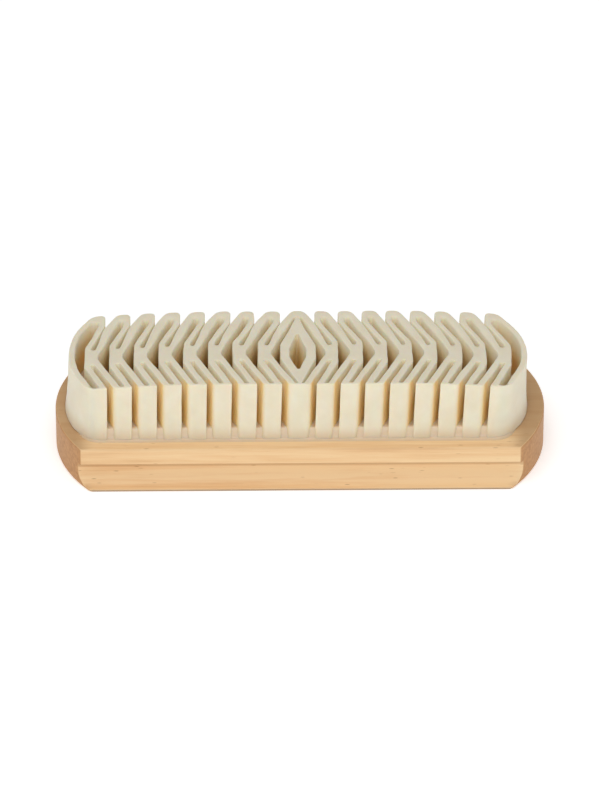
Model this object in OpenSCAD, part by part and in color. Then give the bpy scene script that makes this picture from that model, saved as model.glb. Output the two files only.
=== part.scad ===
// Suede brush: a pad of expanded crepe rubber sheets on a coved beech block.
// Origin: middle of the block's flat hand side.
// X runs along the block, -Y is its front, +Z is the rubber side.

/* [Beech block] */
// Length of the block over its curved ends
block_length = 130; // [120:1:150]
// Thickness of the block
block_thickness = 11.4; // [10.4:0.1:14]
// Width of the upper band, the flat side that carries the rubber
band_width = 44.3; // [42:0.1:47]
// Height of the upper band
band_height = 4.9; // [4:0.1:5.6]
// Plan radius of the curved ends
end_radius = 38.4; // [34:0.2:60]
// Rounding of the long top edges and of the end edges
edge_radius = 0.5; // [0.2:0.1:0.9]

/* [Finger cove] */
// How far the cove's wall lies behind the band
cove_depth = 1.2; // [0.6:0.1:2]
// Radius of the cove where it runs out on to the foot flange
cove_radius = 3.5; // [2.6:0.05:3.9]
// Width of the block over its foot flange
flange_width = 49.8; // [49:0.1:54]
// Height of the flange's edge
flange_edge = 0.7; // [0.5:0.05:1]

/* [Crepe pad] */
// Depth of the pad from its front faces to its back tips
pad_depth = 36.2; // [32:0.2:39]
// Height of the pad above the block at its middle
pad_height = 17.7; // [14:0.2:22]
// Bare wood between the block's end and the pad's outer sheet
end_margin = 4.4; // [3:0.05:8]
// How far the pad's middle lies from the block's middle, along X
pad_shift = -0.55; // [-1.2:0.05:1.2]
// Half length of the flat middle of the pad's top
crown_flat = 20; // [10:1:30]
// How much lower the pad's top is at its two ends
crown = 1.8; // [0.5:0.1:2.5]

/* [Crepe sheets] */
// Thickness of a crepe sheet
sheet_thickness = 1.75; // [1.5:0.05:1.85]
// Thickness of the stretched outer sheet at each end
end_sheet_thickness = 1.6; // [1.3:0.05:2]
// How far the outer sheet bows out past its own edge joints
end_bow = 8.3; // [6.5:0.1:9]
// How far in front of its back tip the outer sheet turns in
end_shoulder = 10.6; // [10:0.1:13]
// How far out a middle joint is pulled past the back tip of its cell
middle_outset = 2.35; // [1.6:0.05:2.8]
// How far in a front joint lies from the back tip of its cell
front_inset = 0.45; // [0:0.05:0.8]
// Length of a middle joint, where two cells are cemented together
middle_joint = 7.4; // [7:0.1:9]
// Place of the middle joints' centre from the pad's centre line, along Y
middle_place = -2.5; // [-3:0.05:-1]
// Length of the joint's front end over which cement fills the opening crotch
front_spread = 2.7; // [2:0.1:2.8]
// Length of the joint's rear end over which cement fills the opening crotch
back_spread = 2.7; // [2:0.1:2.8]
// Rounding of the cement in a crotch
crotch_radius = 0.45; // [0.2:0.05:0.6]
// How far the inner sheet runs straight on in front of its middle joint
front_hold = 0.6; // [0.5:0.1:1.5]
// How far the inner sheet runs straight on behind its middle joint
back_hold = 1.6; // [0.8:0.1:2.4]
// Inside radius at which a sheet bends away from its middle joint
bend_radius = 1.6; // [0.8:0.1:2]
// Straight run of the inner sheets in front of their back tips
back_run = 5.2; // [4:0.1:7]
// Width that a slit still has where it meets the front faces
front_slit = 1.3; // [0.8:0.05:1.6]
// Depth of the cement bead that closes a slit at the front
front_bead = 0.8; // [0.6:0.1:2]
// Depth of the cement bead that closes a slit at the back
back_bead = 3.2; // [2:0.1:4]
// Rounding of the outer corner of each front face
front_corner = 0.7; // [0.3:0.1:1]
// Rounding where the outer sheet comes round to the front of the pad
end_corner = 3; // [1:0.5:4]
// Rounding of the shoulders of each back tip
back_corner = 1.2; // [0.6:0.1:1.5]

/* [Centre ring] */
// Width of the diamond-shaped ring in the middle cell
ring_width = 9.4; // [8:0.1:10]
// Length of the ring's straight sides
ring_side = 6.8; // [5:0.1:8]
// Place of the centre of these sides from the pad's centre line, along Y
ring_place = -1.95; // [-3:0.05:0]
// Thickness of the ring's two sheets
ring_thickness = 2; // [1.6:0.05:2.4]
// Width of the ring's blunt tips
ring_tip = 0.8; // [0.4:0.1:1.2]
// Cement that fills the crease inside the ring's front tip
ring_fill = 6.7; // [6:0.1:8]
// How far before the ring's rear corners its hollow starts to close
ring_back_turn = 1; // [0.5:0.1:1.5]

/* [Latex bed] */
// Height of the latex between the sheets
bed_height = 3.4; // [2:0.1:5]
// Thickness of the latex film under the sheets
bed_film = 0.4; // [0.2:0.05:0.8]
// How far the latex stays behind the front faces and the back tips
bed_setback = 0.3; // [0.1:0.05:0.8]

/* [Hidden] */
$fn = 96;
cells = 8;
sheets = 2 * cells + 1;
bend_steps = 4;
beech = "#e0b882";
crepe = "#dfd6bd";
latex = "#dccab2";

function two_digits(n) = n < 10 ? str("0", n) : str(n);
LEFT_SHEETS = [for (n = [1:sheets]) str("left_sheet_", two_digits(n))];
RIGHT_SHEETS = [for (n = [1:sheets]) str("right_sheet_", two_digits(n))];

front_y = -pad_depth / 2;
back_y = pad_depth / 2;
middle_front = middle_place - middle_joint / 2;
middle_back = middle_place + middle_joint / 2;
ring_front = ring_place - ring_side / 2;
ring_back = ring_place + ring_side / 2;
back_turn = back_y - back_run;
pad_half = block_length / 2 - end_margin;
pitch = (pad_half - end_bow) / cells;
pad_top = block_thickness + pad_height;
foot_z = block_thickness + bed_film;
fill_front = front_y + bed_setback + bed_film;
fill_back = back_y - bed_setback - bed_film;
crown_radius = pow(pad_half - crown_flat, 2) / (2 * crown);
end_bend = 2 * pad_depth / 3;
bead_front = front_y + front_bead;
bead_back = back_y - back_bead;

// Places across the pad, measured outwards from its middle. Cell -1 is the middle one, cell 7 the last.
function back_line(cell) = pitch * (cell + 1);
function front_line(cell) = back_line(cell) - front_inset;
function middle_line(cell) = back_line(cell) + middle_outset;

// Plane geometry
function unit(v) = v / norm(v);
function outward(a, b) = let (d = unit(b - a)) [d.y, -d.x];
function reversed(p) = [for (i = [len(p) - 1:-1:0]) p[i]];

// Points of the arc of the given radius that rounds corner b between a and c
function rounded(a, b, c, radius) =
    let (
        to_a = unit(a - b),
        to_c = unit(c - b),
        half = acos(to_a * to_c) / 2,
        middle = b + unit(to_a + to_c) * radius / sin(half),
        start = b + to_a * radius / tan(half) - middle,
        from = atan2(start.y, start.x),
        turn = (cross(b - a, c - b) > 0 ? 1 : -1) * (180 - 2 * half)
    )
    [for (i = [0:bend_steps]) let (at = from + turn * i / bend_steps) middle + radius * [cos(at), sin(at)]];

// A path with its inner corners rounded
function bent(p, radius) = concat(
    [p[0]],
    [for (i = [1:len(p) - 2]) each rounded(p[i - 1], p[i], p[i + 1], radius)],
    [p[len(p) - 1]]
);

// The path moved outwards by d, with its straight stretches kept parallel
function beside(p, d) = [
    for (i = [0:len(p) - 1])
        let (
            before = outward(p[max(i - 1, 0)], p[max(i, 1)]),
            after = outward(p[min(i, len(p) - 2)], p[min(i + 1, len(p) - 1)]),
            way = unit(before + after)
        )
        p[i] + way * d / (way * after)
];

// Where the straight line through a and b crosses the height y of the plan
function crossing(a, b, y) = a + (b - a) * (y - a.y) / (b.y - a.y);

// A path with its two ends on the pad's front and back planes
function trimmed(p) = let (last = len(p) - 1) [
    for (i = [0:last])
        i == 0 ? crossing(p[0], p[1], front_y) : i == last ? crossing(p[last - 1], p[last], back_y) : p[i]
];

// An outline with the given corners rounded, each as [place in the list, radius]
function eased(outline, corners) = let (count = len(outline)) [
    for (i = [0:count - 1])
        let (radius = max([0, for (c = corners) if (c[0] == i) c[1]]))
        each radius == 0 ? [outline[i]]
            : rounded(outline[(i + count - 1) % count], outline[i], outline[(i + 1) % count], radius)
];

// Corners of the middle line of each kind of sheet, from the front to the back
function inner_path(cell) = [
    [front_line(cell) - sheet_thickness / 2, front_y],
    [middle_line(cell) + sheet_thickness / 2, middle_front - front_hold],
    [middle_line(cell) + sheet_thickness / 2, middle_back + back_hold],
    [back_line(cell) - sheet_thickness / 2, back_turn],
    [back_line(cell) - sheet_thickness / 2, back_y]
];
function cell_path(cell) = [
    [front_line(cell) + front_slit + sheet_thickness / 2, front_y],
    [middle_line(cell + 1) - sheet_thickness / 2, middle_front + front_spread],
    [middle_line(cell + 1) - sheet_thickness / 2, middle_back - back_spread],
    [back_line(cell) + sheet_thickness / 2, back_y]
];
function end_path() = let (out = pad_half - end_sheet_thickness / 2) [
    [front_line(cells - 1) + front_slit + end_sheet_thickness, front_y],
    [out, front_y + pad_depth / 3],
    [out, back_y - end_shoulder],
    [back_line(cells - 1) + end_sheet_thickness / 2, back_y]
];
function outer_path(cell) = cell == cells - 1 ? end_path() : cell_path(cell);

// Sheets are numbered from the pad's end to its middle: odd ones are outer sheets, even ones inner sheets
function cell_of(n) = cells - 1 - floor((n - 1) / 2);
function is_outer(n) = n % 2 == 1;

function middle_of(n) =
    n == 1 ? bent(end_path(), end_bend)
    : bent(is_outer(n) ? outer_path(cell_of(n)) : inner_path(cell_of(n)), bend_radius + sheet_thickness / 2);
function thickness_of(n) = n == 1 ? end_sheet_thickness : sheet_thickness;

// Face of the cell's inner sheet that a cement bead sits on, or the pad's middle in the middle cell
function bead_foot(cell, front, y) =
    let (p = inner_path(cell), a = front ? p[0] : p[3], b = front ? p[1] : p[4])
    [cell < 0 ? 0 : crossing(a, b, y).x + sheet_thickness / 2 * norm(b - a) / abs(b.y - a.y), y];

// The two faces of a sheet, each from the front plane to the back plane
function far_face(n) = trimmed(beside(middle_of(n), thickness_of(n) / 2));
function near_face(n) = trimmed(beside(middle_of(n), -thickness_of(n) / 2));

// A face between two heights of the plan, which both lie on its straight end stretches
function stretch(face, from_y, to_y) = let (last = len(face) - 1) concat(
    [crossing(face[0], face[1], from_y)],
    [for (i = [1:last - 1]) face[i]],
    [crossing(face[last - 1], face[last], to_y)]
);

// Outline of a cell's inner sheet
function inner_outline(n) = let (far = far_face(n))
    eased(concat(far, reversed(near_face(n))), [[len(far), back_corner]]);

// Outer face of a sheet with the cement that joins it to the next cell, between the joint's two ends
function cemented(face, line) = let (last = len(face) - 1) [
    face[0],
    crossing(face[0], face[1], middle_front),
    [line, middle_front],
    [line, middle_back],
    crossing(face[last - 1], face[last], middle_back),
    face[last]
];

// Outline of a cell's outer sheet with the cement beads that close the cell at its back and its front
function outer_outline(n) =
    let (
        far = n == 1 ? far_face(n) : cemented(far_face(n), middle_line(cell_of(n) + 1)),
        last = len(far) - 1,
        crotches = n == 1 ? [] : [[1, crotch_radius], [last - 1, crotch_radius]],
        corners = concat([[0, n == 1 ? end_corner : front_corner], [last, back_corner]], crotches),
        back_edge = [bead_foot(cell_of(n), false, back_y), bead_foot(cell_of(n), false, bead_back)],
        front_edge = [bead_foot(cell_of(n), true, bead_front), bead_foot(cell_of(n), true, front_y)],
        wall = reversed(stretch(near_face(n), bead_front, bead_back))
    )
    eased(concat(far, back_edge, wall, front_edge), corners);

module sheet_plan(n) {
    polygon(is_outer(n) ? outer_outline(n) : inner_outline(n));
}

// Outer and inner outline of one half of the ring in the middle cell, from the front to the back
function ring_outside() = [
    [ring_tip / 2, bead_front],
    [ring_width / 2, ring_front],
    [ring_width / 2, ring_back],
    [ring_tip / 2, bead_back]
];
function ring_inside() =
    let (
        hollow = ring_width / 2 - ring_thickness,
        turn = ring_back - ring_back_turn,
        lean = (ring_width - ring_tip) / 2 / (bead_back - ring_back)
    )
    [
        [ring_tip / 2, bead_front + ring_fill],
        [hollow, ring_front],
        [hollow, turn],
        [0, turn + hollow / lean]
    ];

module ring_plan() {
    difference() {
        polygon(concat([[0, bead_front]], ring_outside(), [[0, bead_back]]));
        polygon(concat([[-1, bead_front + ring_fill]], ring_inside(), [[-1, ring_inside()[3].y]]));
    }
}

// Everything under the pad's top, which is flat in the middle and falls away in a wide arc to the ends
module crown_body() {
    translate([0, pad_depth, pad_top])
        rotate([90, 0, 0])
            linear_extrude(2 * pad_depth)
                union() {
                    translate([-crown_flat, -crown_radius]) square([2 * crown_flat, crown_radius]);
                    translate([crown_flat, -crown_radius]) circle(crown_radius, $fn = 256);
                }
}

// Stands a plan of the pad on the latex film and cuts its top to the crown
module standing() {
    intersection() {
        translate([0, 0, foot_z]) linear_extrude(pad_height) children();
        crown_body();
    }
}

module on_pad(right) {
    translate([pad_shift, 0, 0]) mirror([right ? 0 : 1, 0, 0]) children();
}

module crepe_sheet(n, right) {
    color(crepe) on_pad(right) standing() sheet_plan(n);
}

module ring_sheet(right) {
    color(crepe) on_pad(right) standing() ring_plan();
}

// Plan of the latex film, which ends at the outer face of each end sheet
module film_plan() {
    edge = stretch(far_face(1), front_y + bed_setback, back_y - bed_setback);
    ends = len(edge) - 1;
    polygon(concat(
        [for (p = edge) [pad_shift + p.x, p.y]],
        [for (i = [ends:-1:0]) [pad_shift - edge[i].x, edge[i].y]]
    ));
}

// Cover for the seams between a cell's two sheets, where the cement beads meet the inner one
module seam_plan(n, from_y, to_y) {
    inner = middle_of(n + 1);
    outer = middle_of(n);
    i = from_y < 0 ? 0 : len(inner) - 2;
    o = from_y < 0 ? 0 : len(outer) - 2;
    polygon([
        crossing(inner[i], inner[i + 1], from_y),
        crossing(outer[o], outer[o + 1], from_y),
        crossing(outer[o], outer[o + 1], to_y),
        crossing(inner[i], inner[i + 1], to_y)
    ]);
}

// Gaps of one half of the pad that the latex fills: its outline less everything that stands in it
module gap_plans() {
    difference() {
        polygon(concat([[0, fill_front]], stretch(middle_of(1), fill_front, fill_back), [[0, fill_back]]));
        for (n = [1:sheets]) sheet_plan(n);
        for (n = [1:2:sheets - 1]) seam_plan(n, front_y, bead_front);
        for (n = [1:2:sheets - 1]) seam_plan(n, bead_back, back_y);
        ring_plan();
    }
}

// Latex film under the sheets, and the latex that stands between their feet
module latex_bed() {
    color(latex)
        translate([0, 0, block_thickness]) {
            linear_extrude(bed_film) film_plan();
            translate([0, 0, bed_film / 2])
                linear_extrude(bed_height - bed_film / 2)
                    for (right = [true, false]) on_pad(right) gap_plans();
        }
}

// Side view of one half of the block: band, overhanging edge, cove and foot flange
module block_side() {
    band = band_width / 2;
    foot = flange_width / 2;
    wall = band - cove_depth;
    band_foot = block_thickness - band_height;
    cove_z = flange_edge + cove_radius;
    difference() {
        union() {
            square([foot, band_foot]);
            square([band - edge_radius, block_thickness]);
            square([band, block_thickness - edge_radius]);
            translate([band - edge_radius, block_thickness - edge_radius]) circle(edge_radius);
        }
        translate([wall, cove_z]) square([foot, band_foot - cove_z]);
        translate([wall + cove_radius, flange_edge]) square([foot, cove_z - flange_edge + 0.01]);
        translate([wall + cove_radius, cove_z]) circle(cove_radius);
    }
}

// One curved end of the block, turned about its plan centre with both rims rounded
module block_end() {
    translate([block_length / 2 - end_radius, 0, 0])
        rotate_extrude()
            union() {
                square([end_radius - edge_radius, block_thickness]);
                translate([0, edge_radius]) square([end_radius, block_thickness - 2 * edge_radius]);
                translate([end_radius - edge_radius, edge_radius]) circle(edge_radius);
                translate([end_radius - edge_radius, block_thickness - edge_radius]) circle(edge_radius);
            }
}

module beech_block() {
    reach = block_length / 2 - end_radius;
    color(beech)
        intersection() {
            rotate([90, 0, 90])
                linear_extrude(block_length, center = true)
                    union() {
                        block_side();
                        mirror([1, 0, 0]) block_side();
                    }
            union() {
                block_end();
                mirror([1, 0, 0]) block_end();
                translate([-reach, -flange_width / 2, 0]) cube([2 * reach, flange_width, block_thickness]);
            }
        }
}

beech_block();
latex_bed();
ring_sheet(false);  // left_ring_sheet
ring_sheet(true);  // right_ring_sheet
for (n = [1:sheets]) crepe_sheet(n, false);
for (n = [1:sheets]) crepe_sheet(n, true);
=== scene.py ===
# Suede brush: crepe rubber pad on a coved beech block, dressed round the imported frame.
import math

import bmesh
import bpy
import numpy as np
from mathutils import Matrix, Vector, geometry


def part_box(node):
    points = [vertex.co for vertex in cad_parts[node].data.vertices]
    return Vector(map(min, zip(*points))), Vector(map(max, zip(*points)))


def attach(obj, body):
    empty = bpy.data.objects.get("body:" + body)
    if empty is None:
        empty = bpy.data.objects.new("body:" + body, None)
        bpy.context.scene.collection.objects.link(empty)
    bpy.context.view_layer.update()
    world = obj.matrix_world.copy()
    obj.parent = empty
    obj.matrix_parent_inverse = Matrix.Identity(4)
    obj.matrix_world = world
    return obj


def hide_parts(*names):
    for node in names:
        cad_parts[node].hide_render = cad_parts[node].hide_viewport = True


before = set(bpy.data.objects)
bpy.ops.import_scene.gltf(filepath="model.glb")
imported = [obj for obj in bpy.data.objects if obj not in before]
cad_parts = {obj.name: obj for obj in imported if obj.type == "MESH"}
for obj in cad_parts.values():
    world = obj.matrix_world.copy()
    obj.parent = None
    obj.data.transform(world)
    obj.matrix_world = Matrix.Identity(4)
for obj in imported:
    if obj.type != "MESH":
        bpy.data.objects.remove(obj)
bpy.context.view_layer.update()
mm = 0.001
print("frame loaded:", len(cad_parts), "nodes")


# Shared helpers

def linearColour(hexText):
    # sRGB hex to linear: c / 12.92 up to 0.04045, else ((c + 0.055) / 1.055) ^ 2.4
    c = np.array([int(hexText[i:i + 2], 16) for i in (1, 3, 5)]) / 255.0
    linear = np.where(c <= 0.04045, c / 12.92, ((c + 0.055) / 1.055) ** 2.4)
    return (*linear.tolist(), 1.0)


def addNode(tree, kind, settings=None, inputs=None, links=None, stops=()):
    # one node: attributes from settings, socket values from inputs, links as {input: output socket}, and the
    # stops of a colour ramp as (place, sRGB hex or grey value)
    node = tree.nodes.new(kind)
    for key, value in (settings or {}).items():
        setattr(node, key, value)
    for key, value in (inputs or {}).items():
        node.inputs[key].default_value = value
    for key, source in (links or {}).items():
        tree.links.new(source, node.inputs[key])
    for i, (place, colour) in enumerate(stops):
        elements = node.color_ramp.elements
        element = elements[i] if i < 2 else elements.new(place)
        element.position = place
        element.color = linearColour(colour) if isinstance(colour, str) else (colour, colour, colour, 1.0)
    return node


colourMix = {"data_type": "RGBA"}
product = {"operation": "MULTIPLY"}
unsigned = {"operation": "ABSOLUTE"}
eased = {"interpolation_type": "SMOOTHSTEP"}


def newMaterial(name, finish):
    # a shader whose own sockets take the values of finish, its node tree and the piece's Object coordinates
    material = bpy.data.materials.new(name)
    material.use_nodes = True
    tree = material.node_tree
    tree.nodes.clear()
    shader = addNode(tree, "ShaderNodeBsdfPrincipled", inputs=finish)
    addNode(tree, "ShaderNodeOutputMaterial", links={"Surface": shader.outputs["BSDF"]})
    place = addNode(tree, "ShaderNodeTexCoord").outputs["Object"]
    return material, tree, shader, place


def addPiece(name, points, faces, material, smooth=True, hardAngle=None):
    # points in metres as one array, faces as lists of indices; edges sharper than hardAngle degrees stay hard
    mesh = bpy.data.meshes.new(name)
    mesh.from_pydata(points.tolist(), [], faces)
    mesh.update()
    piece = bpy.data.objects.new(name, mesh)
    bpy.context.scene.collection.objects.link(piece)
    mesh.materials.append(material)
    mesh.polygons.foreach_set("use_smooth", np.full(len(mesh.polygons), smooth))
    if hardAngle is not None:
        mesh.set_sharp_from_angle(angle=math.radians(hardAngle))
    return piece


def gridFaces(rows, columns, first=0, loop=True):
    # quads of a grid stored row by row; loop joins the last column to the first
    r = np.arange(rows - 1)[:, None]
    c = np.arange(columns if loop else columns - 1)[None, :]
    n = (c + 1) % columns
    a = first + r * columns + c
    b = first + r * columns + n
    return np.stack([a, b, b + columns, a + columns], -1).reshape(-1, 4)


def smoothStep(x, low, high):
    # 3t^2 - 2t^3 of t = (x - low) / (high - low), held to 0..1
    t = np.clip((np.asarray(x, float) - low) / (high - low), 0, 1)
    return t * t * (3 - 2 * t)


def waves(x, y, scale, seed, count=5):
    # sum of sines in random directions, each 0.6 to 1.6 times scale long, brought to about -1..1
    draw = np.random.default_rng(seed)
    total = np.zeros(np.broadcast(x, y).shape)
    for _ in range(count):
        angle = draw.uniform(0, 2 * np.pi)
        length = scale * draw.uniform(0.6, 1.6)
        phase = draw.uniform(0, 6.28)
        total = total + np.sin((x * np.cos(angle) + y * np.sin(angle)) * 2 * np.pi / length + phase)
    return total / count ** 0.5 / 1.2


def unit(v):
    # the vector divided by its length
    return v / np.linalg.norm(v)


def mirrored(points):
    # x to -x
    return points * np.array([-1.0, 1.0])


# Sizes that the frame holds, in millimetres

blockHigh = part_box("beech_block")[1]
leftLow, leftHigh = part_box("left_sheet_01")
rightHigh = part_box("right_sheet_01")[1]

woodTop = blockHigh.z / mm
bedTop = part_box("latex_bed")[1].z / mm
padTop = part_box("left_ring_sheet")[1].z / mm
padMiddle = (leftLow.x + rightHigh.x) / 2 / mm
padHalf = (rightHigh.x - leftLow.x) / 2 / mm
frontY = leftLow.y / mm
backY = leftHigh.y / mm

# Plan of the pad, in millimetres outwards from its middle

padPlan = {
    "cells": 8,             # cells on each side of the ring
    "sheet": 1.75,          # crepe sheet thickness
    "endSheet": 1.6,        # the same of the bowed end sheets
    "endBow": 8.3,          # from the last back tip to the pad's end
    "endShoulder": 10.6,    # how far in front of its back tip the end sheet turns in
    "outset": 2.35,         # how far a middle joint is pulled out past the back tip of its cell
    "inset": 0.45,          # how far a front joint lies in from the back tip
    "jointFront": -6.2,     # where the cement of the middle joints starts and ends along Y
    "jointBack": 1.2,
    "spread": 2.7,          # how far inside the joint's ends the outer sheet already leans away
    "crotch": 0.5,          # rounding of the cement in the crotches
    "frontHold": 0.6,       # how far the inner sheet runs straight on past the joint, to front and back
    "backHold": 1.6,
    "bend": 1.6,            # inside radius of a bend
    "backRun": 5.2,         # straight run of an inner sheet to its back tip
    "slit": 1.3,            # width of a hollow at its front end
    "frontBead": 0.7,       # depth of the cement that closes a hollow at the front and at the back
    "backBead": 3.2,
    "mouth": 0.55,          # rounding of a hollow at its front end and at its back end
    "heel": 0.6,
    "frontCorner": 1.5,     # rounding of a front strip's outer edge, of its inner one and of the end strip's
    "sharpCorner": 0.36,
    "endCorner": 6.0,
    "backCorner": 1.2,      # inner shoulder of a back tip; the outer one and that of the end tips are rounder
    "backShoulder": 2.3,
    "endShoulderRadius": 3.4,
    "fullness": 0.75,       # how far the outer sheet of a back tip swells past its plan, most behind halfway
    "fullnessBehind": 1.3,
    "ring": 9.4,            # width of the ring, and the ends of its straight sides along Y
    "ringFront": -5.35,
    "ringBack": 1.45,
    "ringShoulder": 1.6,    # rounding where those sides turn in
    "ringSheet": 2.5,       # thickness of the ring's sheets
    "ringTip": 0.8,         # width of the ring's tips
    "ringFill": 6.7,        # cement in the ring's front tip, behind the bead
    "holeFront": 0.9,       # how much shorter than the ring the sides of its diamond hole are, at the front
    "holeBack": 2.4,        # and at the back
    "holeTop": 6.3,         # how far behind the ring's sides the hole ends
    "holeRadii": (0.35, 2.4, 2.4, 0.4, 2.4, 2.4, 0.35),     # its corners, round from the front on the right
    "cornerShare": 0.49,    # how much of the side beside it a rounding may take, and one of wideCorner
    "wideShare": 0.62,
    "wideCorner": 2.0,
    "crown": 1.8,           # how much lower the pad's ends are, and how far off the middle the fall starts
    "crownFlat": 20.0,
    "gap": 0.8,             # most that two points of the plan lie apart
}
p = padPlan
pitch = (padHalf - p["endBow"]) / p["cells"]
sheets = 2 * p["cells"] + 1
hollowFront, hollowBack = frontY + p["frontBead"], backY - p["backBead"]
bendSteps = 6               # steps of the arc at a sheet's bend, and at a corner
cornerSteps = 4


def arcPoints(a, b, c, radius, steps):
    # arc that rounds corner b between a and c: its centre lies radius / sin(half angle) along the bisector
    toA, toC = unit(a - b), unit(c - b)
    half = np.arccos(np.clip(toA @ toC, -1, 1)) / 2
    middle = b + unit(toA + toC) * radius / np.sin(half)
    start = b + toA * radius / np.tan(half) - middle
    side = np.sign((b - a)[0] * (c - b)[1] - (b - a)[1] * (c - b)[0])
    angles = np.arctan2(start[1], start[0]) + side * (np.pi - 2 * half) * np.linspace(0, 1, steps + 1)
    return middle + radius * np.stack([np.cos(angles), np.sin(angles)], -1)


def roundedPath(path, radius):
    # an open path with an arc of the given radius at each corner
    arcs = [arcPoints(*path[i - 1:i + 2], radius, bendSteps) for i in range(1, len(path) - 1)]
    return np.concatenate([path[:1], *arcs, path[-1:]])


def roundedLoop(loop, radii):
    # a closed line with corner i rounded by radii[i], held to a share of the shorter side beside it
    out = []
    for a, b, c, radius in zip(np.roll(loop, 1, axis=0), loop, np.roll(loop, -1, axis=0), radii):
        if radius > 0:
            share = p["cornerShare"] if radius < p["wideCorner"] else p["wideShare"]
            reach = min(np.linalg.norm(a - b), np.linalg.norm(c - b)) * share
            half = np.arccos(np.clip(unit(a - b) @ unit(c - b), -1, 1)) / 2
            out.append(arcPoints(a, b, c, min(radius, reach * np.tan(half)), cornerSteps))
        else:
            out.append(b[None])
    return np.concatenate(out)


def offsetPath(path, d):
    # the path moved outwards (to the right of its run) by d, straight stretches kept parallel
    along = np.diff(path, axis=0)
    along /= np.linalg.norm(along, axis=1)[:, None]
    normal = np.stack([along[:, 1], -along[:, 0]], -1)
    before = np.vstack([normal[:1], normal])
    after = np.vstack([normal, normal[-1:]])
    way = before + after
    way /= np.linalg.norm(way, axis=1)[:, None]
    return path + way * (d / np.sum(way * after, axis=1))[:, None]


def cutAt(a, b, y):
    # the point at y on the straight line through a and b
    return a + (b - a) * (y - a[1]) / (b[1] - a[1])


def stretch(face, y0, y1):
    # the face between two places along Y that lie on its first and last straight stretch
    return np.vstack([cutAt(face[0], face[1], y0), face[1:-1], cutAt(face[-2], face[-1], y1)])


def resample(points, gap):
    # the same closed line with points at most gap apart; corners stay where they are
    out = []
    for a, b in zip(points, np.roll(points, -1, axis=0)):
        count = max(1, int(np.ceil(np.linalg.norm(b - a) / gap)))
        out.append(a + (b - a) * (np.arange(count) / count)[:, None])
    return np.concatenate(out)


def backLine(cell):
    # where the back tip of a cell lies: one pitch for each cell
    return pitch * (cell + 1)


def sheetFaces(n):
    # outer and inner face of sheet n, counted from the pad's end to its middle: a spine from the front joint
    # over the middle joint to the back tip, its bends rounded, moved half a thickness out and in
    t = p["endSheet"] if n == 1 else p["sheet"]
    back = backLine(p["cells"] - 1 - (n - 1) // 2)
    front = back - p["inset"]
    radius = p["bend"] + t / 2
    if n == 1:
        out = padHalf - t / 2
        turn = (backY - frontY) / 3             # the bow's front corner; its radius is twice that
        radius = 2 * turn
        path = [[front + p["slit"] + t, frontY], [out, frontY + turn], [out, backY - p["endShoulder"]],
                [back + t / 2, backY]]
    elif n % 2:
        middle = back + pitch + p["outset"] - t / 2
        path = [[front + p["slit"] + t / 2, frontY], [middle, p["jointFront"] + p["spread"]],
                [middle, p["jointBack"] - p["spread"]], [back + t / 2, backY]]
    else:
        middle = back + p["outset"] + t / 2
        path = [[front - t / 2, frontY], [middle, p["jointFront"] - p["frontHold"]],
                [middle, p["jointBack"] + p["backHold"]], [back - t / 2, backY - p["backRun"]],
                [back - t / 2, backY]]
    spine = roundedPath(np.array(path), radius)
    return stretch(offsetPath(spine, t / 2), frontY, backY), stretch(offsetPath(spine, -t / 2), frontY, backY)


facesOf = {n: sheetFaces(n) for n in range(1, sheets + 1)}


def cellLoop(n):
    # the hollow of one cell: outer sheet's inner wall, then the inner sheet's outer wall
    wall = stretch(facesOf[n][1], hollowFront, hollowBack)[::-1]
    other = stretch(facesOf[n + 1][0], hollowFront, hollowBack)
    loop = np.vstack([wall, other])
    radii = np.zeros(len(loop))
    radii[[0, len(wall) - 1, len(wall), len(loop) - 1]] = [p["heel"], p["mouth"], p["mouth"], p["heel"]]
    return roundedLoop(loop, radii)


def ringLoops():
    # the gap between the ring and the sheet beside it, and the diamond hole inside the ring
    half, tip = p["ring"] / 2, p["ringTip"] / 2
    outside = np.array([[tip, hollowFront], [half, p["ringFront"]], [half, p["ringBack"]], [tip, hollowBack]])
    wall = stretch(facesOf[sheets][1], hollowFront, hollowBack)[::-1]
    gap = np.vstack([wall, outside])
    gapRadii = np.zeros(len(gap))
    gapRadii[-3:-1] = p["ringShoulder"]
    gapRadii[[0, len(wall) - 1]] = p["heel"]
    side = half - p["ringSheet"]
    right = np.array([[tip, hollowFront + p["ringFill"]], [side, p["ringFront"] + p["holeFront"]],
                      [side, p["ringBack"] - p["holeBack"]]])
    top = np.array([[0.0, p["ringBack"] + p["holeTop"]]])
    hole = np.vstack([right, top, mirrored(right[::-1])])
    return roundedLoop(gap, gapRadii), roundedLoop(hole, p["holeRadii"])


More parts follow.
